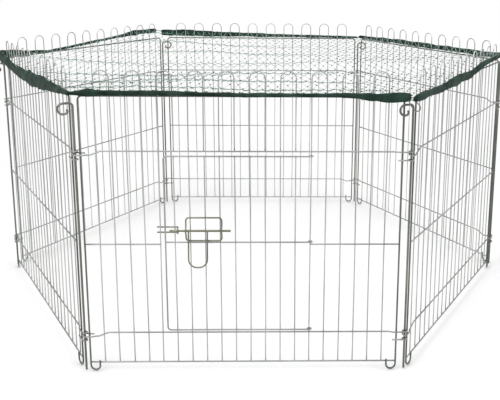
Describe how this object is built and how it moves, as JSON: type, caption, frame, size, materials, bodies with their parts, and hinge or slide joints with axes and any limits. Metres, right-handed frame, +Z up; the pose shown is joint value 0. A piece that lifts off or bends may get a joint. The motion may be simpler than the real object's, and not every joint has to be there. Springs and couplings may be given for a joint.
{
  "type": "outdoor pet enclosure",
  "caption": "Six-sided folding wire run for small animals, with a bolted door, corner rods with ring handles and a netted cover with a cloth hem.",
  "frame": {"origin": "on the ground, at the middle of the run", "axes": "+Z up; X along the front panel, to the right seen from the front; +Y from the front to the back"},
  "size_m": [1.2352, 1.0452, 0.5612],
  "materials": {
    "frame_wire": "galvanised",
    "bar_wire": "galvanised",
    "rail_wire": "galvanised",
    "rod_steel": "yellow passivated zinc",
    "latch_steel": "yellow passivated zinc",
    "net_twine": "knotted twine",
    "hem_cloth": "woven",
    "elastic": "braided"
  },
  "bodies": {
    "front_panel": {"front_frame": "frame_wire", "front_bars": "bar_wire", "front_hinge_rails": "rail_wire", "front_cross_wires": "rail_wire", "latch_keeper": "latch_steel", "cover_net": "net_twine", "net_hem": "hem_cloth", "hem_cord": "elastic"},
    "right_front_panel": {"right_front_frame": "frame_wire", "right_front_bars": "bar_wire", "right_front_hinge_rails": "rail_wire", "right_front_cross_wires": "rail_wire"},
    "right_rear_panel": {"right_rear_frame": "frame_wire", "right_rear_bars": "bar_wire", "right_rear_hinge_rails": "rail_wire", "right_rear_cross_wires": "rail_wire"},
    "rear_panel": {"rear_frame": "frame_wire", "rear_bars": "bar_wire", "rear_hinge_rails": "rail_wire", "rear_cross_wires": "rail_wire"},
    "left_rear_panel": {"left_rear_frame": "frame_wire", "left_rear_bars": "bar_wire", "left_rear_hinge_rails": "rail_wire", "left_rear_cross_wires": "rail_wire"},
    "left_front_panel": {"left_front_frame": "frame_wire", "left_front_bars": "bar_wire", "left_front_hinge_rails": "rail_wire", "left_front_cross_wires": "rail_wire"},
    "door": {"door_frame": "rail_wire", "door_middle_rail": "rail_wire", "door_bars": "bar_wire", "latch_guide": "latch_steel"},
    "bolt": {"latch_bolt": "latch_steel"},
    "handle": {"latch_handle": "latch_steel"},
    "front_right_rod": {"front_right_rod": "rod_steel"},
    "right_rod": {"right_rod": "rod_steel"},
    "rear_right_rod": {"rear_right_rod": "rod_steel"},
    "rear_left_rod": {"rear_left_rod": "rod_steel"},
    "left_rod": {"left_rod": "rod_steel"},
    "front_left_rod": {"front_left_rod": "rod_steel"}
  },
  "joints": [
    {"name": "right_fold", "type": "hinge", "parent": "right_front_panel", "child": "right_rear_panel", "pos_m": [0.59, 0, 0], "axis": [0, 0, 1], "range_deg": [0, 100], "deforming": ["cover_net", "net_hem", "hem_cord"]},
    {"name": "front_right_fold", "type": "hinge", "parent": "front_panel", "child": "right_front_panel", "pos_m": [0.295, -0.51096, 0], "axis": [0, 0, 1], "range_deg": [-50, 0]},
    {"name": "front_left_fold", "type": "hinge", "parent": "front_panel", "child": "left_front_panel", "pos_m": [-0.295, -0.51096, 0], "axis": [0, 0, 1], "range_deg": [0, 50]},
    {"name": "left_fold", "type": "hinge", "parent": "left_front_panel", "child": "left_rear_panel", "pos_m": [-0.59, 0, 0], "axis": [0, 0, 1], "range_deg": [-100, 0]},
    {"name": "rear_left_fold", "type": "hinge", "parent": "left_rear_panel", "child": "rear_panel", "pos_m": [-0.295, 0.51096, 0], "axis": [0, 0, 1], "range_deg": [0, 50]},
    {"name": "door_swing", "type": "hinge", "parent": "front_panel", "child": "door", "pos_m": [0.11757, -0.50928, 0.25], "axis": [0, 0, 1], "range_deg": [0, 160]},
    {"name": "bolt_slide", "type": "slide", "parent": "door", "child": "bolt", "axis": [1, 0, 0], "range_m": [0, 0.022]},
    {"name": "handle_turn", "type": "hinge", "parent": "bolt", "child": "handle", "pos_m": [-0.11957, -0.5138, 0.272], "axis": [-1, 0, 0], "range_deg": [0, 165]},
    {"name": "front_right_rod_pull", "type": "slide", "parent": "front_panel", "child": "front_right_rod", "axis": [0, 0, 1], "range_m": [0, 0.43], "deforming": ["cover_net", "net_hem", "hem_cord"]},
    {"name": "right_rod_pull", "type": "slide", "parent": "right_front_panel", "child": "right_rod", "axis": [0, 0, 1], "range_m": [0, 0.43], "deforming": ["cover_net", "net_hem", "hem_cord"]},
    {"name": "rear_right_rod_pull", "type": "slide", "parent": "right_rear_panel", "child": "rear_right_rod", "axis": [0, 0, 1], "range_m": [0, 0.43], "deforming": ["cover_net", "net_hem", "hem_cord"]},
    {"name": "rear_left_rod_pull", "type": "slide", "parent": "rear_panel", "child": "rear_left_rod", "axis": [0, 0, 1], "range_m": [0, 0.43], "deforming": ["cover_net", "net_hem", "hem_cord"]},
    {"name": "left_rod_pull", "type": "slide", "parent": "left_front_panel", "child": "left_rod", "axis": [0, 0, 1], "range_m": [0, 0.43], "deforming": ["cover_net", "net_hem", "hem_cord"]},
    {"name": "front_left_rod_pull", "type": "slide", "parent": "front_panel", "child": "front_left_rod", "axis": [0, 0, 1], "range_m": [0, 0.43], "deforming": ["cover_net", "net_hem", "hem_cord"]}
  ],
  "couplings": [
    {"joint": "front_right_fold", "follows": "right_fold", "ratio": -0.5},
    {"joint": "front_left_fold", "follows": "right_fold", "ratio": 0.5},
    {"joint": "left_fold", "follows": "right_fold", "ratio": -1},
    {"joint": "rear_left_fold", "follows": "right_fold", "ratio": 0.5}
  ]
}
